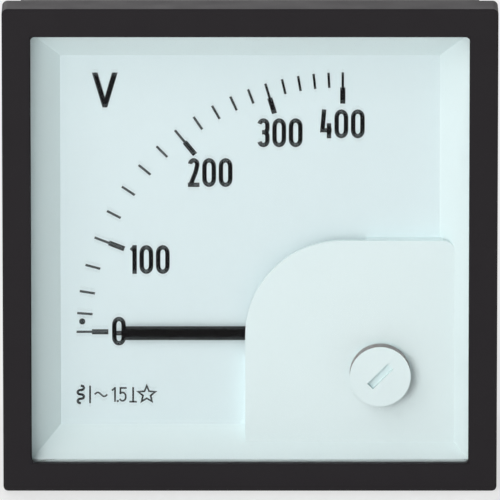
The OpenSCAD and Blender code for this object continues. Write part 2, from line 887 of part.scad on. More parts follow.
// Front bridge: a bent strip with a boss for the zero lever and tabs into the bobbin
module front_bridge() {
    out = leg_at + leg_t / 2;
    color("#c9a64c")
        difference() {
            union() {
                slab(bridge_y, bridge_back_y)
                    translate(pivot) {
                        circle(bridge_r);
                        rotate(bridge_deg)
                            square([2 * out, bridge_w], center = true);
                    }
                for (deg = bridge_dirs)
                    at_pivot(deg)
                        bridge_leg(out);
                rod(pivot, bridge_y + bridge_t / 2, boss_back_y, boss_r);
                rod(pivot, boss_lip_y, boss_back_y, boss_r + boss_lip);
            }
            rod(pivot, bridge_y - cut, boss_back_y + cut, jewel_screw_r + press_clear);
        }
}

// One leg of the bridge along +X, with its tab
module bridge_leg(out) {
    tab_end = bobbin_y + bobbin_flange_t;
    translate([out - leg_t, bridge_y, -bridge_w / 2])
        cube([leg_t, bobbin_y - bridge_y, bridge_w]);
    translate([out - leg_t, bridge_back_y, -tab_w / 2])
        cube([leg_t, tab_end - bridge_back_y, tab_w]);
}

// Slotted screw with a pocket for its jewel; the jewel's end is at depth 0 and the screw runs to -Y
module jewel_screw(len) {
    slot = jewel_screw_r / 3;
    difference() {
        rod([0, 0], -len, 0, jewel_screw_r);
        rod([0, 0], -jewel_t, cut, jewel_r + press_clear);
        translate([0, -len, 0])
            cube([4 * jewel_screw_r, 2 * slot, slot], center = true);
    }
}

module front_jewel_screw() {
    color("#c9a64c")
        translate(over(pivot, front_jewel_y))
            jewel_screw(front_screw_len);
}

module rear_jewel_screw() {
    color("#c9a64c")
        translate(over(pivot, rear_jewel_y))
            rotate([0, 0, 180])
                jewel_screw(rear_screw_len);
}

// Thin nut that locks the rear jewel screw
module jewel_lock_nut() {
    color("#c9a64c")
        difference() {
            hex_bar(pivot, frame_back_y, frame_back_y + lock_nut_t, lock_nut_af);
            rod(pivot, frame_back_y - cut, frame_back_y + lock_nut_t + cut,
                jewel_screw_r + press_clear);
        }
}

// Two jewels with conical cups for the spindle's points
module jewels() {
    color("#b0354a") {
        translate(over(pivot, front_jewel_y))
            jewel();
        translate(over(pivot, rear_jewel_y))
            rotate([0, 0, 180])
                jewel();
    }
}

// One jewel with its cup at depth 0
module jewel() {
    difference() {
        rod([0, 0], -jewel_t, 0, jewel_r);
        rod([0, 0], -cup_depth, 0, tip_r, cup_r);
    }
}

// Bobbin with slots for the bridge's tabs, holes for the lugs and two pegs for the frame
module coil_bobbin() {
    slot = [leg_t + 2 * press_clear, bobbin_flange_t + cut, tab_w + 2 * press_clear];
    color("#3a3a3c")
        difference() {
            union() {
                turned(pivot)
                    polygon([
                        [bobbin_bore_r, bobbin_y], [bobbin_flange_r, bobbin_y],
                        [bobbin_flange_r, bobbin_y + bobbin_flange_t],
                        [core_r, bobbin_y + bobbin_flange_t],
                        [core_r, bobbin_back_y - bobbin_flange_t],
                        [bobbin_flange_r, bobbin_back_y - bobbin_flange_t],
                        [bobbin_flange_r, bobbin_back_y], [bobbin_bore_r, bobbin_back_y]
                    ]);
                frame_pegs(0);
            }
            for (deg = bridge_dirs)
                at_pivot(deg)
                    translate([leg_at, bobbin_y + bobbin_flange_t / 2, 0])
                        cube(slot, center = true);
            for (deg = lug_dirs)
                rod(from_pivot(lug_at, deg), bobbin_back_y - bobbin_flange_t - cut,
                    bobbin_back_y + cut, lug_r + press_clear);
        }
}

// Two pegs that are staked through the movement frame
module frame_pegs(gap) {
    peg = bobbin_wall + gap;
    at = (bobbin_bore_r + bobbin_flange_r) / 2;
    for (deg = bridge_dirs)
        rod(from_pivot(at, deg), bobbin_back_y - bobbin_flange_t / 2,
            frame_back_y + bobbin_wall / 2 + gap, peg);
}

// Winding of enamelled wire on the bobbin
module coil_winding() {
    color("#a5562c")
        turned(pivot)
            translate([core_r + press_clear, bobbin_y + bobbin_flange_t + press_clear])
                square([
                    winding_r - core_r - press_clear,
                    bobbin_len - 2 * bobbin_flange_t - 2 * press_clear
                ]);
}

// Two pins pressed in the bobbin, where the winding meets the leads
module coil_lugs() {
    color("#c9a64c")
        for (deg = lug_dirs)
            rod(from_pivot(lug_at, deg), bobbin_back_y - bobbin_flange_t,
                bobbin_back_y + lug_len, lug_r);
}

// Fixed iron: a curved sheet in the bobbin's bore that narrows to a tongue
module fixed_iron() {
    outer = bobbin_bore_r - fit_clear;
    length = bobbin_len - 4 * bobbin_flange_t;
    middle = (bobbin_y + bobbin_back_y) / 2;
    start = -moving_iron_deg / 2;
    color("#8d8f92")
        difference() {
            turned(pivot, fixed_iron_deg, start)
                translate([outer - fixed_iron_t, middle - length / 2])
                    square([fixed_iron_t, length]);
            for (side = [-1, 1])
                translate(over(pivot + [0, outer], middle + side * length / 2))
                    rotate([-side * fixed_iron_taper, 0, 0])
                        translate([-2 * outer, side > 0 ? 0 : -length, -4 * outer])
                            cube([4 * outer, length, 5 * outer]);
        }
}

// Frame plate behind the bobbin, with two ears on the case's bosses
module movement_frame() {
    color("#b9bcbf")
        difference() {
            slab(bobbin_back_y, frame_back_y)
                difference() {
                    union() {
                        translate(pivot)
                            circle(frame_r);
                        for (deg = screw_dirs)
                            frame_ear(deg);
                    }
                    for (deg = screw_dirs)
                        translate(from_pivot(screw_at, deg))
                            circle(screw_r + fit_clear);
                    for (deg = lug_dirs)
                        translate(from_pivot(lug_at, deg))
                            circle(3 * lug_r);
                    translate(pivot)
                        circle(jewel_screw_r + press_clear);
                }
            frame_pegs(press_clear);
        }
}

// Ear of the frame with a round end
module frame_ear(deg) {
    translate(pivot)
        rotate(deg)
            translate([0, -screw_boss_r])
                square([screw_at, 2 * screw_boss_r]);
    translate(from_pivot(screw_at, deg))
        circle(screw_boss_r);
}

// Two slotted screws that hold the movement frame to the case
module movement_screws() {
    head_y = bobbin_back_y - screw_head_t;
    slot = screw_head_t / 2;
    color("#c4c6c8")
        for (deg = screw_dirs)
            difference() {
                union() {
                    rod(from_pivot(screw_at, deg), head_y, bobbin_back_y, screw_head_r);
                    rod(from_pivot(screw_at, deg), bobbin_back_y,
                        bobbin_back_y + screw_len, screw_r);
                }
                translate(over(from_pivot(screw_at, deg), head_y))
                    cube([4 * screw_head_r, 2 * slot, slot], center = true);
            }
}

// Case: a deep open box with posts for the dial, bosses for the movement and terminal pads
module rear_case() {
    inner = case_inner_half;
    color("#28282a")
        difference() {
            union() {
                case_shell();
                snap_ridges(0);
                intersection() {
                    case_inside(inner + case_wall / 2);
                    case_fittings(inner);
                }
                for (place = studs)
                    rod(place, back_y, pad_y, pad_r);
                terminal_barrier();
            }
            clamp_pockets(0, 0);
            for (deg = screw_dirs)
                rod(from_pivot(screw_at, deg), frame_back_y - cut,
                    bobbin_back_y + screw_len + cut, screw_r + press_clear);
            for (place = studs)
                rod(place, back_y - cut, pad_y + cut, stud_r + press_clear);
        }
}

// Walls and back of the case
module case_shell() {
    side = 2 * case_half;
    edge = case_chamfer;
    difference() {
        slab(case_front_y, case_depth)
            round_rect(side, side, case_corner_r);
        slab(case_front_y - cut, back_y)
            square(2 * case_inner_half, center = true);
        square_frame(case_half + 2 * cut, case_depth - edge - cut, case_depth + cut)
            polygon([
                [case_half - edge, case_depth], [case_half + cut, case_depth - edge - cut],
                [case_half + cut, case_depth + cut], [case_half - edge, case_depth + cut]
            ]);
    }
}

// Rib that keeps the conductors of the two terminals apart
module terminal_barrier() {
    slab(back_y + back_t / 2, case_depth + barrier_h)
        translate([0, stud_z])
            round_rect(barrier_t, barrier_len, barrier_t / 4);
}

// A plain block inside the case
module case_inside(half) {
    slab(dial_back_y, back_y + back_t / 2)
        square(2 * half, center = true);
}

// Posts, bosses and thickened wall inside the case
module case_fittings(inner) {
    for (x = [-1, 1], z = [-1, 1])
        slab(dial_back_y, back_y + back_t / 2)
            translate([x, z] * (inner - dial_post_w / 2 + case_wall / 4))
                square(dial_post_w + case_wall / 2, center = true);
    for (deg = screw_dirs)
        rod(from_pivot(screw_at, deg), frame_back_y, back_y + back_t / 2, screw_boss_r);
    clamp_pockets(pocket_depth, case_wall);
}

// Pairs of pockets in both side walls for the hooks of the mounting clamps
module clamp_pockets(grow, shift) {
    depth = 2 * pocket_depth;
    for (side = [-1, 1], row = [0, 1])
        translate([
            side * (case_half - shift),
            pocket_at + pocket_len / 2 + row * (pocket_len + pocket_rib),
            0
        ])
            cube([depth, pocket_len + 2 * grow, pocket_w + 2 * grow], center = true);
}

// Two terminal studs with their heads inside the case
module terminal_studs() {
    head_back_y = back_y - tag_t;
    point = stud_r / 4;
    color("#c9a64c")
        for (place = studs) {
            hex_bar(place, head_back_y - stud_head_t, head_back_y, nut_af);
            rod(place, head_back_y - stud_head_t / 2, stud_end_y - point, stud_r);
            rod(place, stud_end_y - point, stud_end_y, stud_r, stud_r - point);
        }
}

// Two solder tags: a ring under each stud's head and an upright ear with a hole
module solder_tags() {
    drop = tag_reach;
    color("#d0d2d4")
        for (place = studs)
            difference() {
                union() {
                    slab(back_y - tag_t, back_y)
                        translate(place) {
                            circle(nut_af / 2);
                            translate([-tag_w / 2, -drop])
                                square([tag_w, drop]);
                        }
                    translate([place[0] - tag_w / 2, back_y - tag_rise, place[1] - drop])
                        cube([tag_w, tag_rise, tag_t]);
                }
                rod(place, back_y - tag_t - cut, back_y + cut, stud_r + press_clear);
                translate([place[0], tag_hole_y, place[1] - drop - cut])
                    cylinder(h = tag_t + 2 * cut, r = lead_r + fit_clear);
            }
}

// A hex nut on each stud
module stud_nuts(y) {
    color("#c9a64c")
        for (place = studs)
            difference() {
                hex_bar(place, y, y + nut_t, nut_af);
                rod(place, y - cut, y + nut_t + cut, stud_r + press_clear);
            }
}

// Nuts that hold the studs to the case
module fixing_nuts() {
    stud_nuts(pad_y);
}

// Nuts that clamp the user's wires
module clamp_nuts() {
    stud_nuts(clamp_nut_y);
}

// Two plain washers on each stud
module clamp_washers() {
    color("#c4c6c8")
        for (place = studs, y = [clamp_y, spring_washer_y - washer_t])
            difference() {
                rod(place, y, y + washer_t, washer_r);
                rod(place, y - cut, y + washer_t + cut, stud_r + fit_clear);
            }
}

// A split spring washer on each stud
module spring_washers() {
    color("#8d8f92")
        for (place = studs)
            difference() {
                rod(place, spring_washer_y, clamp_nut_y, spring_washer_r);
                rod(place, spring_washer_y - cut, clamp_nut_y + cut, stud_r + fit_clear);
                translate(over(place, spring_washer_y))
                    rotate([0, 0, spring_washer_slant])
                        translate([-spring_washer_gap / 2, -cut, 0])
                            cube([spring_washer_gap, spring_washer_t + 3 * cut, spring_washer_r + cut]);
            }
}

// Series resistor: a body with end caps, its upper wire through the left tag's ear
module series_resistor() {
    cap = resistor_r / 2;
    place = [-stud_x, tag_hole_y, resistor_bottom];
    color("#b7a27a")
        translate(place)
            rotate_extrude()
                polygon([
                    [0, -resistor_wire_len], [resistor_wire_r, -resistor_wire_len],
                    [resistor_wire_r, 0], [resistor_r, 0], [resistor_r, cap],
                    [resistor_r - fit_clear, cap], [resistor_r - fit_clear, resistor_len - cap],
                    [resistor_r, resistor_len - cap], [resistor_r, resistor_len],
                    [resistor_wire_r, resistor_len],
                    [resistor_wire_r, resistor_len + resistor_wire_len],
                    [0, resistor_len + resistor_wire_len]
                ]);
}

// Two insulated leads: resistor to lower lug, and upper lug to the right tag
module coil_leads() {
    lug_end_y = bobbin_back_y + lug_len;
    upper = over(from_pivot(lug_at, lug_dirs[0]), lug_end_y);
    lower = over(from_pivot(lug_at, lug_dirs[1]), lug_end_y);
    wire_end = [-stud_x, tag_hole_y, resistor_bottom - resistor_wire_len];
    tag_hole = [stud_x, tag_hole_y, stud_z - tag_reach];
    down = [0, 0, -1];
    back = [0, 1, 0];
    color("#9c2f2f") {
        wire(arc_of(wire_end, down * resistor_slack, lower, back * lug_slack));
        wire(arc_of(upper, back * lug_slack, tag_hole - down * 2 * tag_t, down * tag_slack));
    }
}

// Points of a lead: a straight stub at each end and a smooth curve between, drawn along two pulls
function arc_of(end_a, pull_a, end_b, pull_b) =
    let (a = end_a + unit(pull_a) * 2 * lead_r, b = end_b + unit(pull_b) * 4 * lead_r)
    concat([end_a], [for (t = [0:lead_step:1]) bezier(a, a + pull_a, b + pull_b, b, t)], [end_b]);

// A point of a cubic curve
function bezier(a, b, c, d, t) =
    let (s = 1 - t)
    s * s * s * a + 3 * s * s * t * b + 3 * s * t * t * c + t * t * t * d;

function unit(v) = v / norm(v);

// Direction of a route at point i
function along(route, i) = unit(route[min(i + 1, len(route) - 1)] - route[max(i - 1, 0)]);

// Sideways vectors carried along a route without twist
function sideways(route, i) =
    i == 0
    ? unit(cross(along(route, 0), [1, 1, 1]))
    : let (u = sideways(route, i - 1), t = along(route, i)) unit(u - (u * t) * t);

// A round lead swept along a route
module wire(route, sides = 8) {
    last = len(route) - 1;
    ring = [for (k = [0:sides - 1]) k];
    points = [
        for (i = [0:last])
            let (t = along(route, i), u = sideways(route, i), w = cross(t, u))
            for (k = ring)
                route[i] + lead_r * (cos(360 * k / sides) * u + sin(360 * k / sides) * w)
    ];
    walls = [
        for (i = [0:last - 1], k = ring)
            let (a = i * sides + k, b = i * sides + (k + 1) % sides)
            each [[a, a + sides, b], [b, a + sides, b + sides]]
    ];
    ends = [[for (k = ring) k], [for (k = ring) last * sides + sides - 1 - k]];
    polyhedron(points, concat(walls, ends));
}

bezel();
window_pane();
dial_surround();
dial_plate();
scale_marks();
pointer();
pointer_hub();
balance_weights();
spindle();
moving_iron();
hairspring();
zero_screw();
zero_lever();
front_bridge();
front_jewel_screw();
rear_jewel_screw();
jewel_lock_nut();
jewels();
coil_bobbin();
coil_winding();
coil_lugs();
fixed_iron();
movement_frame();
movement_screws();
rear_case();
terminal_studs();
solder_tags();
fixing_nuts();
clamp_washers();
spring_washers();
clamp_nuts();
series_resistor();
coil_leads();
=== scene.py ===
"""Looks of a square panel voltmeter: printed dial, threaded studs, materials, light and camera."""

import json
import math
from itertools import accumulate

import bmesh
import bpy
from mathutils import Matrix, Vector
from mathutils.geometry import delaunay_2d_cdt


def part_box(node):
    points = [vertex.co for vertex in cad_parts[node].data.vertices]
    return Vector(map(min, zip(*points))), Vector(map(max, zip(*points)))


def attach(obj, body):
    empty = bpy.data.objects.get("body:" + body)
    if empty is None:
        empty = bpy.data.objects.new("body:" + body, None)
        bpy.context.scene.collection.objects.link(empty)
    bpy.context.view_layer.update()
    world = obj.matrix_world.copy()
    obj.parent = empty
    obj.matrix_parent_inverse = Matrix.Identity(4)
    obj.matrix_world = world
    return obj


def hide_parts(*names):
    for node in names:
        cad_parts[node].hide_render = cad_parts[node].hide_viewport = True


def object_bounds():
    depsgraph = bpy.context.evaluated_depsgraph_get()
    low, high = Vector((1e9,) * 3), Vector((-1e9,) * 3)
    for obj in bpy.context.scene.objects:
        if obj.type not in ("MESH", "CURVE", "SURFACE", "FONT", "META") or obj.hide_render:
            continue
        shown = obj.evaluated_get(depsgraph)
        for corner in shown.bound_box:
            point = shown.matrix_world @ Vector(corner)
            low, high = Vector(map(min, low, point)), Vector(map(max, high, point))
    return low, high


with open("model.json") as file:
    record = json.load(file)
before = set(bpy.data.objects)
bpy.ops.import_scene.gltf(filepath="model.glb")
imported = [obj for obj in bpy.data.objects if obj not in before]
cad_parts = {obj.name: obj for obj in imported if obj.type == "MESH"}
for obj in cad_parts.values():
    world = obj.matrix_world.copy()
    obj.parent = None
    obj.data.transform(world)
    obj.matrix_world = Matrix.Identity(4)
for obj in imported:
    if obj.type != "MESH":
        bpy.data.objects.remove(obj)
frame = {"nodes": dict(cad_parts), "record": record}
cad_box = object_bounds()

# One millimetre in metres. Sizes are in millimetres unless a comment says otherwise
MM = 0.001

# Printing on the dial, with places along X and Z as seen from the front

INK_T = 0.03
# Points of an outline that are closer than this are joined
JOIN_GAP = 1e-4
# Corners sharper than this are cut short, as the cosine of half their turn
MITRE_LIMIT = 0.4

# Numbers of the scale with their centres
FIGURES = [
    ("0", -19.15, -13.7),
    ("100", -14.63, -2.94),
    ("200", -5.81, 10.09),
    ("300", 4.35, 16.04),
    ("400", 13.46, 17.37),
]
FIGURE_H = 4.3
FIGURE_GAP = 0.4
FIGURE_STROKE = 0.64
# Width of a zero, and of each digit as a share of it
FIGURE_W = 2.0
DIGIT_SHARE = {"0": 1.0, "1": 0.5, "2": 0.85, "3": 0.9, "4": 0.84, "5": 0.9}

# Unit sign. Half its foot and the height of its notch are shares of the stroke
UNIT_PLACE = (-21.13, 22.43)
UNIT_W = 3.75
UNIT_H = 5.2
UNIT_STROKE = 0.82
UNIT_FOOT = 0.42
UNIT_NOTCH = 1.9

# Row of standard signs
SIGN_Z = -23.23
SIGN_H = 2.2
SIGN_STROKE = 0.25
# Moving iron, which is a coil beside a bar
IRON_H = 2.64
COIL_X = -24.75
COIL_BENDS = 4
COIL_SWING = 0.45
COIL_STROKE = 0.35
BAR_X = -23.4
# Alternating current
WAVE_X = -21.8
WAVE_HALF = 0.923
WAVE_SWING = 0.3
WAVE_STEPS = 24
# Class, as digits with their places and the width of a zero, and the point between them
CLASS_DIGITS = [("1", -19.95, 1.3), ("5", -18.6, 1.25)]
POINT_X = -19.35
POINT_R = 0.17
POINT_RAISE = 0.1
POINT_STEPS = 16
# Upright use
UPRIGHT_X = -17.1
UPRIGHT_FOOT = 1.1
# Test voltage
STAR_X = -15.1
STAR_POINTS = 5
STAR_R = 1.3
STAR_INNER_R = 0.585


def arc(cx, cz, rx, rz, start, end, steps=12):
    """Points of an elliptic arc, in degrees from +X towards +Z."""
    turns = [math.radians(start + (end - start) * i / steps) for i in range(steps + 1)]
    return [(cx + rx * math.cos(a), cz + rz * math.sin(a)) for a in turns]


def digit(char, w, h, stroke):
    """Centre lines of one condensed digit that fills a box w by h, about its middle.

    Points inside the box are shares of x and z, which are the middle of its outermost strokes.
    """
    x, z, top = (w - stroke) / 2, (h - stroke) / 2, h / 2
    if char == "0":
        bow = 1.3 * x
        loop = arc(0, z - bow, x, bow, 0, 180) + arc(0, bow - z, x, bow, 180, 360)
        return [loop + loop[:1]]
    if char == "1":
        flag = [(x, top - stroke * 0.45), (stroke * 0.3 - w / 2, top - w * 0.8)]
        return [[(x, -top), (x, top)], flag]
    if char == "2":
        bow = 1.15 * x
        neck, heel = (x * 0.55, z * 0.05), (-x * 0.85, -z)
        return [arc(0, z - bow, x, bow, 172, -14) + [neck, heel], [(-w / 2, -z), (w / 2, -z)]]
    if char == "3":
        waist, bend, bow = z * 0.04, stroke * 0.85, 1.15 * x
        upper = arc(0, z - bow, x, bow, 165, 0) + arc(x - bend, waist + bend, bend, bend, 0, -90)
        lower = arc(x - bend, waist - bend, bend, bend, 90, 0) + arc(0, bow - z, x, bow, 0, -165)
        tongue = (-x * 0.35, waist)
        return [upper + [tongue], [tongue] + lower]
    if char == "4":
        bar, stem = -z * 0.52, x * 0.85
        return [[(-x * 0.5, top), (-x, bar), (w / 2, bar)], [(stem, z * 0.05), (stem, -top)]]
    bowl = arc(-x * 0.1, -z * 0.35, x * 1.1, z * 0.65, 125, -150)
    return [[(w / 2, z), (-x * 0.8, z), (-x * 0.85, z * 0.05)], bowl]


def offsets(points, half):
    """Left and right edges of a ribbon along the points, mitred at its corners."""
    sides = []
    closed = points[0] == points[-1]
    runs = [Vector((b[0] - a[0], b[1] - a[1])).normalized() for a, b in zip(points, points[1:])]
    for i, here in enumerate(points):
        coming = runs[i - 1] if i or closed else runs[0]
        going = runs[i] if i < len(runs) else (runs[0] if closed else runs[-1])
        along = (coming + going).normalized()
        across = Vector((-along.y, along.x)) * half / max(MITRE_LIMIT, along.dot(going))
        sides.append((Vector(here) + across, Vector(here) - across))
    return sides


def ribbons(lines, width):
    """Outlines of the short stretches that make up ribbons along some lines."""
    rows = [offsets(points, width / 2) for points in lines]
    return [(a[1], b[1], b[0], a[0]) for row in rows for a, b in zip(row, row[1:])]


def shifted(lines, x, z):
    return [[(px + x, pz + z) for px, pz in line] for line in lines]


def figure_lines(text, x, z, w, h, gap, stroke):
    """Centre lines of a row of digits about a centre. w is the width of a zero."""
    widths = [w * DIGIT_SHARE[char] for char in text]
    left = x - (sum(widths) + gap * (len(text) - 1)) / 2
    lines = []
    for char, own_w in zip(text, widths):
        lines += shifted(digit(char, own_w, h, stroke), left + own_w / 2, z)
        left += own_w + gap
    return lines


def ink_skin(outlines, dial_y):
    """A raised skin of ink over some outlines, which are joined where they overlap. dial_y is in metres."""
    points = [Vector(p) for outline in outlines for p in outline]
    ends = list(accumulate(len(outline) for outline in outlines))
    loops = [list(range(end - len(outline), end)) for end, outline in zip(ends, outlines)]
    spots, _, tiles, _, _, owners = delaunay_2d_cdt(points, [], loops, 1, JOIN_GAP)
    bm = bmesh.new()
    front = [bm.verts.new((s.x * MM, dial_y - INK_T * MM, s.y * MM)) for s in spots]
    skin = [bm.faces.new([front[i] for i in tile]) for tile, owner in zip(tiles, owners) if owner]
    raised = bmesh.ops.extrude_face_region(bm, geom=skin)["geom"]
    for corner in raised:
        if isinstance(corner, bmesh.types.BMVert):
            corner.co.y = dial_y
    bmesh.ops.delete(bm, geom=[v for v in bm.verts if not v.link_faces], context="VERTS")
    return bm


def new_piece(name, bm, body, material):
    bmesh.ops.recalc_face_normals(bm, faces=bm.faces)
    mesh = bpy.data.meshes.new(name)
    bm.to_mesh(mesh)
    bm.free()
    piece = bpy.data.objects.new(name, mesh)
    bpy.context.scene.collection.objects.link(piece)
    mesh.materials.append(material)
    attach(piece, body)
    return piece


def dial_figures(dial_y, ink):
    """The numbers of the scale."""
    lines = []
    for text, x, z in FIGURES:
        lines += figure_lines(text, x, z, FIGURE_W, FIGURE_H, FIGURE_GAP, FIGURE_STROKE)
    skin = ink_skin(ribbons(lines, FIGURE_STROKE), dial_y)
    new_piece("dial_figures", skin, "housing", ink)


def unit_sign(dial_y, ink):
    """The outline of a V with a flat foot."""
    half, tall, foot = UNIT_W / 2, UNIT_H / 2, UNIT_STROKE * UNIT_FOOT
    notch = (0, UNIT_STROKE * UNIT_NOTCH - tall)
    outside = [(-half, tall), (-foot, -tall), (foot, -tall), (half, tall)]
    inside = [(half - UNIT_STROKE, tall), notch, (UNIT_STROKE - half, tall)]
    skin = ink_skin(shifted([outside + inside], *UNIT_PLACE), dial_y)
    new_piece("unit_sign", skin, "housing", ink)


def coil_line():
    """A winding line of half ellipses, from the top down."""
    bend_h = IRON_H / COIL_BENDS
    line = [(COIL_X, SIGN_Z + IRON_H / 2)]
    for i in range(COIL_BENDS):
        swing = COIL_SWING if i % 2 == 0 else -COIL_SWING
        middle = SIGN_Z + IRON_H / 2 - (i + 0.5) * bend_h
        line += arc(COIL_X, middle, swing, bend_h / 2, 90, -90)[1:]
    return line


def wave_line():
    """One period of a wave that first rises."""
    shares = [2 * i / WAVE_STEPS - 1 for i in range(WAVE_STEPS + 1)]
    return [(WAVE_X + WAVE_HALF * s, SIGN_Z - WAVE_SWING * math.sin(math.pi * s)) for s in shares]


def star_line():
    """A closed star with one point upwards."""
    corners = 2 * STAR_POINTS
    line = []
    for i in range(corners):
        r = STAR_R if i % 2 == 0 else STAR_INNER_R
        a = math.pi / 2 + 2 * math.pi * i / corners
        line.append((STAR_X + r * math.cos(a), SIGN_Z + r * math.sin(a)))
    return line + line[:1]


def dial_symbols(dial_y, ink):
    """Standard signs: moving iron, alternating current, class, upright use and test voltage."""
    foot_z = SIGN_Z - SIGN_H / 2
    lines = [[(BAR_X, SIGN_Z + IRON_H / 2), (BAR_X, SIGN_Z - IRON_H / 2)], wave_line()]
    for char, x, zero_w in CLASS_DIGITS:
        lines += figure_lines(char, x, SIGN_Z, zero_w, SIGN_H, 0, SIGN_STROKE)
    lines.append([(UPRIGHT_X, SIGN_Z + SIGN_H / 2), (UPRIGHT_X, foot_z)])
    lines.append([(UPRIGHT_X - UPRIGHT_FOOT / 2, foot_z), (UPRIGHT_X + UPRIGHT_FOOT / 2, foot_z)])
    lines.append(star_line())
    point = arc(POINT_X, foot_z + POINT_RAISE, POINT_R, POINT_R, 0, 360, POINT_STEPS)[:-1]
    outlines = ribbons([coil_line()], COIL_STROKE) + ribbons(lines, SIGN_STROKE) + [point]
    new_piece("dial_symbols", ink_skin(outlines, dial_y), "housing", ink)


# Terminal studs with a cut thread

STUD_R = 2.0
STUD_POINT = 0.5
STUD_HEAD_T = 2.8
HEAD_CHAMFER = 0.3
THREAD_PITCH = 0.7
THREAD_DEPTH = 0.38
# Width of the thread's flat crest and root, as a share of the pitch
THREAD_FLAT = 1 / 12
STUD_SIDES = 42
STUD_STEP = 0.1


def clamped(share):
    return max(0.0, min(1.0, share))


def stud_radius(y, turn, start, end):
    """Radius of the shank at a depth and a share of a turn: thread, run-out and pointed end."""
    phase = (y / THREAD_PITCH - turn) % 1.0
    from_crest = 0.5 - abs(phase - 0.5)
    groove = clamped((from_crest - THREAD_FLAT / 2) / (0.5 - THREAD_FLAT))
    run_out = clamped((y - start) / THREAD_PITCH)
    return min(STUD_R - THREAD_DEPTH * groove * run_out, STUD_R - STUD_POINT + (end - y))


def hex_radius(turn, half_flats):
    """Radius of a hexagon at a share of a turn, with a corner at 0."""
    return half_flats / math.cos(math.pi * (turn * 6 % 1 - 0.5) / 3)


def stud_rings(head_front, pad_back, end, half_flats):
    """Depths of a stud's rings with their radii: the hex head, a plain neck and the thread."""
    turns = [i / STUD_SIDES for i in range(STUD_SIDES)]
    hexagon = [hex_radius(turn, half_flats) for turn in turns]
    head_back = head_front + STUD_HEAD_T
    rings = [(head_front, [half_flats] * STUD_SIDES), (head_front + HEAD_CHAMFER, hexagon),
             (head_back, hexagon), (head_back, [STUD_R] * STUD_SIDES)]
    steps = round((end - pad_back) / STUD_STEP)
    for j in range(steps + 1):
        y = pad_back + (end - pad_back) * j / steps
        rings.append((y, [stud_radius(y, turn, pad_back, end) for turn in turns]))
    return rings


def threaded_studs(material):
    """Both studs, each one closed skin round its axis."""
    low, high = (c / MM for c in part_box("terminal_studs"))
    pad_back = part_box("fixing_nuts")[0].y / MM
    half_flats = (high.z - low.z) / 2
    stud_x = high.x - hex_radius(0, half_flats)
    stud_z = (high.z + low.z) / 2
    bm = bmesh.new()
    for x in (-stud_x, stud_x):
        rows = []
        for y, radii in stud_rings(low.y, pad_back, high.y, half_flats):
            row = []
            for i, r in enumerate(radii):
                a = 2 * math.pi * i / STUD_SIDES
                place = Vector((x + r * math.cos(a), y, stud_z + r * math.sin(a)))
                row.append(bm.verts.new(place * MM))
            rows.append(row)
        for row, after in zip(rows, rows[1:]):
            for i in range(STUD_SIDES):
                k = (i + 1) % STUD_SIDES
                bm.faces.new((row[i], row[k], after[k], after[i]))
        bm.faces.new(rows[0])
        bm.faces.new(rows[-1])
    piece = new_piece("threaded_studs", bm, "housing", material)
    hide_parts("terminal_studs")


# Materials

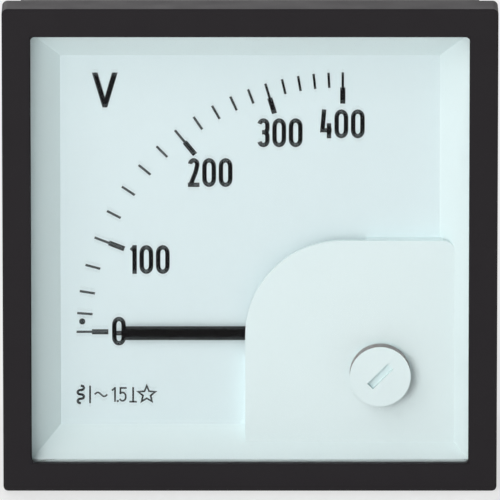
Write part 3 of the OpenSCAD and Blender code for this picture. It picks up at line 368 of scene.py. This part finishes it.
# Look of each slot: colour, roughness, size of its grain, swing of its colour as a share, strength of
# its relief, how many times finer its grain is along X, Y and Z, and other settings of its shader
LOOKS = {
    "bezel_plastic": dict(colour=(0.013, 0.011, 0.013), roughness=0.6, grain=0.35, vary=0.15, bump=0.3,
                          Specular_IOR_Level=0.15),
    "case_plastic": dict(colour=(0.014, 0.014, 0.016), roughness=0.55, grain=0.4, vary=0.12, bump=0.3,
                         Specular_IOR_Level=0.25),
    "clear_pane": dict(colour=(0.97, 0.99, 0.99), roughness=0.04, grain=4.0, vary=0.01, bump=0.02,
                       Transmission_Weight=1.0, IOR=1.49, Alpha=0.06),
    "white_plastic": dict(colour=(0.77, 0.89, 0.895), roughness=0.42, grain=0.5, vary=0.012, bump=0.08,
                          Specular_IOR_Level=0.3),
    "dial_paint": dict(colour=(0.73, 0.85, 0.87), roughness=0.7, grain=0.2, vary=0.02, bump=0.1,
                       Specular_IOR_Level=0.2),
    "dial_ink": dict(colour=(0.004, 0.004, 0.0045), roughness=0.8, grain=0.15, vary=0.25, bump=0.1,
                     Specular_IOR_Level=0.1),
    "pointer_paint": dict(colour=(0.0045, 0.004, 0.0045), roughness=0.6, grain=0.15, vary=0.2, bump=0.1,
                          Specular_IOR_Level=0.03),
    "screw_plastic": dict(colour=(0.78, 0.9, 0.905), roughness=0.38, grain=0.4, vary=0.015, bump=0.08,
                          Specular_IOR_Level=0.3),
    "brass": dict(colour=(0.72, 0.5, 0.2), roughness=0.3, grain=0.12, vary=0.08, bump=0.12,
                  finer=(1, 4, 1), Metallic=1.0),
    "spring_bronze": dict(colour=(0.6, 0.36, 0.16), roughness=0.3, grain=0.1, vary=0.06, bump=0.08,
                          Metallic=1.0),
    "steel": dict(colour=(0.62, 0.63, 0.64), roughness=0.3, grain=0.1, vary=0.06, bump=0.12,
                  finer=(1, 6, 1), Metallic=1.0),
    "soft_iron": dict(colour=(0.32, 0.33, 0.34), roughness=0.5, grain=0.15, vary=0.1, bump=0.2,
                      Metallic=1.0),
    "spring_steel": dict(colour=(0.4, 0.41, 0.42), roughness=0.35, grain=0.1, vary=0.08, bump=0.12,
                         Metallic=1.0),
    "ruby": dict(colour=(0.5, 0.03, 0.07), roughness=0.08, grain=0.5, vary=0.05, bump=0.02,
                 Transmission_Weight=0.6, IOR=1.77),
    "bobbin_plastic": dict(colour=(0.035, 0.035, 0.037), roughness=0.55, grain=0.3, vary=0.1, bump=0.2),
    "enamelled_wire": dict(colour=(0.45, 0.15, 0.05), roughness=0.3, grain=0.2, vary=0.1, bump=0.8,
                           Coat_Weight=0.5, Metallic=1.0),
    "frame_metal": dict(colour=(0.6, 0.61, 0.63), roughness=0.38, grain=0.12, vary=0.06, bump=0.12,
                        finer=(8, 1, 1), Metallic=1.0),
    "tinned_tag": dict(colour=(0.66, 0.67, 0.69), roughness=0.32, grain=0.2, vary=0.06, bump=0.1,
                       Metallic=1.0),
    "resistor_ceramic": dict(colour=(0.5, 0.4, 0.24), roughness=0.6, grain=0.25, vary=0.08, bump=0.25),
    "lead_sheath": dict(colour=(0.36, 0.03, 0.03), roughness=0.4, grain=0.3, vary=0.06, bump=0.08),
}
# Broad unevenness as a multiple of the grain, and the swing of the gloss as a share
BROAD = 14
GLOSS_SWING = 0.15
FINE_DETAIL = 3.0
BROAD_DETAIL = 2.0
# Depth of the relief at strength 1, in the grain and in the rows of the winding
GRAIN_DEPTH = 0.02
ROW_DEPTH = 0.1
ROW_PITCH = 0.2
# Radians of a wave texture in one unit at scale 1
WAVE_RATE = 20
# Painted shade on the side of the zero screw's head: its colour, and where it starts and is full inside the
# edge
PAINTED_SHADE = (0.2, 0.16, 0.155, 1)
SHADE_START = 0.1
SHADE_FULL = 0.03
# Places of the colour sockets on a Mix node
MIX_A, MIX_B, MIX_RESULT = 6, 7, 2


def feed(tree, socket, value):
    """Links a socket to another node's output, or sets its value."""
    if isinstance(value, bpy.types.NodeSocket):
        tree.links.new(value, socket)
    else:
        socket.default_value = value


def node(tree, kind, *first_inputs, **named):
    """A shader node with its first inputs in order, and more inputs and settings by name."""
    made = tree.nodes.new(kind)
    for name, value in named.items():
        title = name.replace("_", " ")
        if title in made.inputs:
            feed(tree, made.inputs[title], value)
        else:
            setattr(made, name, value)
    for socket, value in zip(made.inputs, first_inputs):
        feed(tree, socket, value)
    return made


def calculated(tree, operation, *terms):
    """Result of a sum with numbers or sockets."""
    return node(tree, "ShaderNodeMath", *terms, operation=operation).outputs["Value"]


def mixed_colour(tree, share, first, second):
    made = node(tree, "ShaderNodeMix", share, data_type="RGBA")
    feed(tree, made.inputs[MIX_A], first)
    feed(tree, made.inputs[MIX_B], second)
    return made.outputs[MIX_RESULT]


def tinted(colour, share):
    return tuple(min(1.0, c * share) for c in colour) + (1.0,)


def noise(tree, place, scale, detail):
    made = node(tree, "ShaderNodeTexNoise", Vector=place, Scale=scale, Detail=detail)
    return made.outputs["Fac"]


def surface(name, colour, roughness, grain, vary, bump, finer=(1, 1, 1), **sockets):
    """A material with fine grain in its colour, uneven gloss and a slight relief."""
    made = bpy.data.materials.new(name)
    made.use_nodes = True
    tree = made.node_tree
    shader = tree.nodes["Principled BSDF"]
    for socket, value in sockets.items():
        shader.inputs[socket.replace("_", " ")].default_value = value
    place = node(tree, "ShaderNodeTexCoord").outputs["Object"]
    scaled = node(tree, "ShaderNodeMapping", Vector=place, Scale=finer).outputs["Vector"]
    fine_scale, broad_scale = 1 / (grain * MM), 1 / (BROAD * grain * MM)
    fine = noise(tree, scaled, fine_scale, FINE_DETAIL)
    broad = noise(tree, scaled, broad_scale, BROAD_DETAIL)
    both = calculated(tree, "MULTIPLY_ADD", fine, 0.5, calculated(tree, "MULTIPLY", broad, 0.5))
    grained = mixed_colour(tree, both, tinted(colour, 1 - vary), tinted(colour, 1 + vary))
    feed(tree, shader.inputs["Base Color"], grained)
    smooth, rough = roughness * (1 - GLOSS_SWING), min(1.0, roughness * (1 + GLOSS_SWING))
    gloss = node(tree, "ShaderNodeMapRange", Value=broad, To_Min=smooth, To_Max=rough)
    feed(tree, shader.inputs["Roughness"], gloss.outputs["Result"])
    relief = node(tree, "ShaderNodeBump", Strength=bump, Distance=GRAIN_DEPTH * MM, Height=fine)
    feed(tree, shader.inputs["Normal"], relief.outputs["Normal"])
    return made


def part_of(made, kind):
    """The one node of a kind in a material."""
    return next(n for n in made.node_tree.nodes if n.type == kind)


def wind(made):
    """Puts the rows of a winding along Y in the place of a material's relief."""
    tree = made.node_tree
    place = part_of(made, "TEX_COORD").outputs["Object"]
    scale = 2 * math.pi / (WAVE_RATE * ROW_PITCH * MM)
    rows = node(tree, "ShaderNodeTexWave", Vector=place, Scale=scale, bands_direction="Y")
    relief = part_of(made, "BUMP")
    feed(tree, relief.inputs["Height"], rows.outputs["Fac"])
    feed(tree, relief.inputs["Distance"], ROW_DEPTH * MM)


def disc_mask(tree, place, centre, start, end):
    """1 within a radius of an axis along Y, fading to 0 further out. Radii are in metres."""
    across = (1, 0, 1)
    moved = node(tree, "ShaderNodeVectorMath", place, centre, operation="SUBTRACT")
    flat = node(tree, "ShaderNodeVectorMath", moved.outputs["Vector"], across, operation="MULTIPLY")
    reach = node(tree, "ShaderNodeVectorMath", flat.outputs["Vector"], operation="LENGTH")
    mask = node(tree, "ShaderNodeMapRange", Value=reach.outputs["Value"], From_Min=start, From_Max=end,
                To_Min=1.0, To_Max=0.0, interpolation_type="SMOOTHSTEP")
    return mask.outputs["Result"]


def painted_side_shade(made, centre, r):
    """Paints shade on the side of a screw's head, and not on its front. r is in metres."""
    tree = made.node_tree
    place = part_of(made, "TEX_COORD")
    inside = disc_mask(tree, place.outputs["Object"], centre, r - SHADE_START * MM, r - SHADE_FULL * MM)
    facing = node(tree, "ShaderNodeSeparateXYZ", place.outputs["Normal"])
    front = calculated(tree, "ABSOLUTE", facing.outputs["Y"])
    unshaded = calculated(tree, "MAXIMUM", inside, front)
    shaded = calculated(tree, "SUBTRACT", 1.0, unshaded)
    base = part_of(made, "BSDF_PRINCIPLED").inputs["Base Color"]
    # Painted shade: the side of the head is darkened where it stands in the pane's hole
    feed(tree, base, mixed_colour(tree, shaded, base.links[0].from_socket, PAINTED_SHADE))


def all_materials():
    """The material of each slot, by name."""
    made = {slot: surface(slot, **look) for slot, look in LOOKS.items()}
    low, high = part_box("zero_screw")
    head_r = (high.x - low.x) / 2
    # Painted shade on the side of the zero screw's head
    painted_side_shade(made["screw_plastic"], ((high.x + low.x) / 2, 0.0, high.z - head_r), head_r)
    wind(made["enamelled_wire"])
    return made


def dress_nodes(materials):
    """Gives each CAD node the material of its slot in the record."""
    for part in frame["record"]["subparts"]:
        for holder in frame["nodes"][part["node"]].material_slots:
            holder.material = materials[part["material_slot"]]


# Studio, in metres and watts

# Light of the world on the object, where 1 is white
AMBIENT = 0.1
# Floor, and the share of plain white in it as the camera sees it
FLOOR_HALF = 4.0
FLOOR_COLOUR = (0.9, 0.9, 0.9, 1)
FLOOR_ROUGHNESS = 0.9
FLOOR_GLOW = 0.6
# Square lamps with their places, sizes and power
LAMPS = [
    ("key", (-0.5, -1.5, 0.27), 0.6, 11.0),
    ("upper", (-0.7, -1.0, 1.05), 1.3, 9.4),
    ("back", (-0.5, 1.2, 1.0), 1.0, 10.0),
    ("right", (1.3, 0.5, 0.6), 1.0, 7.5),
]
# Camera: degrees above the horizon, distance, width of its frame there and height of its target
CAMERA_ELEVATION = 13.4
CAMERA_DISTANCE = 2.0
FRAME_W = 72.7 * MM
TARGET_Z = 0.2 * MM
# Width of the sensor, in the camera's own millimetres
SENSOR_W = 36.0
CLIP_END = 20.0


def seen_directly(tree):
    """1 for camera, glossy and transmission rays, and 0 for light that falls on the object."""
    path = node(tree, "ShaderNodeLightPath").outputs
    mirrored = calculated(tree, "MAXIMUM", path["Is Camera Ray"], path["Is Glossy Ray"])
    return calculated(tree, "MAXIMUM", mirrored, path["Is Transmission Ray"])


def white_world():
    world = bpy.data.worlds.new("studio")
    bpy.context.scene.world = world
    world.use_nodes = True
    tree = world.node_tree
    shader = tree.nodes["Background"]
    shader.inputs["Color"].default_value = (1, 1, 1, 1)
    strength = node(tree, "ShaderNodeMapRange", Value=seen_directly(tree), To_Min=AMBIENT, To_Max=1.0)
    feed(tree, shader.inputs["Strength"], strength.outputs["Result"])


def pale_floor(z):
    bm = bmesh.new()
    bmesh.ops.create_grid(bm, x_segments=1, y_segments=1, size=FLOOR_HALF)
    mesh = bpy.data.meshes.new("floor")
    bm.to_mesh(mesh)
    bm.free()
    floor = bpy.data.objects.new("floor", mesh)
    floor.location.z = z
    bpy.context.scene.collection.objects.link(floor)
    made = bpy.data.materials.new("floor")
    made.use_nodes = True
    tree = made.node_tree
    lit = tree.nodes["Principled BSDF"]
    lit.inputs["Base Color"].default_value = FLOOR_COLOUR
    lit.inputs["Roughness"].default_value = FLOOR_ROUGHNESS
    glow = node(tree, "ShaderNodeEmission", Strength=1.0)
    share = calculated(tree, "MULTIPLY", seen_directly(tree), FLOOR_GLOW)
    mixed = node(tree, "ShaderNodeMixShader", share, lit.outputs["BSDF"], glow.outputs["Emission"])
    feed(tree, tree.nodes["Material Output"].inputs["Surface"], mixed.outputs["Shader"])
    mesh.materials.append(made)


def soft_lamp(name, place, size, watts):
    """A square area lamp that faces the object."""
    data = bpy.data.lights.new(name, "AREA")
    data.size = size
    data.energy = watts
    lamp = bpy.data.objects.new(name, data)
    lamp.location = place
    lamp.rotation_euler = (-Vector(place)).to_track_quat("-Z", "Y").to_euler()
    bpy.context.scene.collection.objects.link(lamp)


def front_camera(target):
    """A long lens that looks down on the front."""
    data = bpy.data.cameras.new("camera")
    data.sensor_width = SENSOR_W
    data.lens = SENSOR_W * CAMERA_DISTANCE / FRAME_W
    data.clip_end = CLIP_END
    camera = bpy.data.objects.new("camera", data)
    turn = math.radians(CAMERA_ELEVATION)
    away = Vector((0, -math.cos(turn), math.sin(turn)))
    camera.location = Vector(target) + CAMERA_DISTANCE * away
    camera.rotation_euler = (-away).to_track_quat("-Z", "Y").to_euler()
    bpy.context.scene.collection.objects.link(camera)
    bpy.context.scene.camera = camera


# The dressed part in its studio

materials = all_materials()
dial_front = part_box("dial_plate")[0].y
dial_figures(dial_front, materials["dial_ink"])
unit_sign(dial_front, materials["dial_ink"])
dial_symbols(dial_front, materials["dial_ink"])
threaded_studs(materials["brass"])
dress_nodes(materials)

bpy.context.scene.view_settings.view_transform = "Standard"
white_world()
pale_floor(cad_box[0].z)
for lamp in LAMPS:
    soft_lamp(*lamp)
front_camera((0, cad_box[0].y, TARGET_Z))
